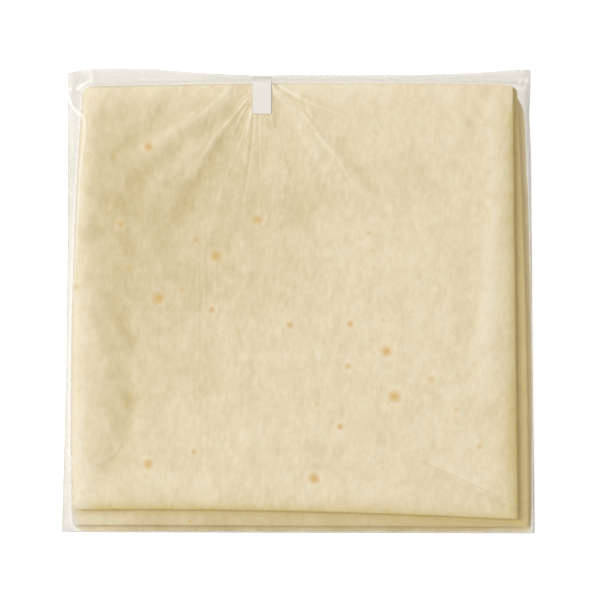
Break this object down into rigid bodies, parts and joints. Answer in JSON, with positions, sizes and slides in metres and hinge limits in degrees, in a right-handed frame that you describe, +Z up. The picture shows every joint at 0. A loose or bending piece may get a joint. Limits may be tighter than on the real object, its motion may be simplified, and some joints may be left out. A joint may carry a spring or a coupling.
{
  "type": "stack of yufka sheets",
  "caption": "Square pack of folded yufka dough sheets in stepped bundles, in a clear film bag shut with a strip of white tape, lying flat.",
  "frame": {"origin": "middle of the pack's plan on the surface that it lies on", "axes": "+Z up out of the shown face, +Y towards the taped mouth of the bag, +X to the right seen from above"},
  "size_m": [0.3006, 0.2944, 0.0185],
  "materials": {
    "dough": "matt cream dough with a few baked brown spots",
    "tape": "white satin tape",
    "film": "clear thin film with soft creases"
  },
  "bodies": {
    "root": {"bag": "dough", "tape": "tape"}
  },
  "joints": []
}
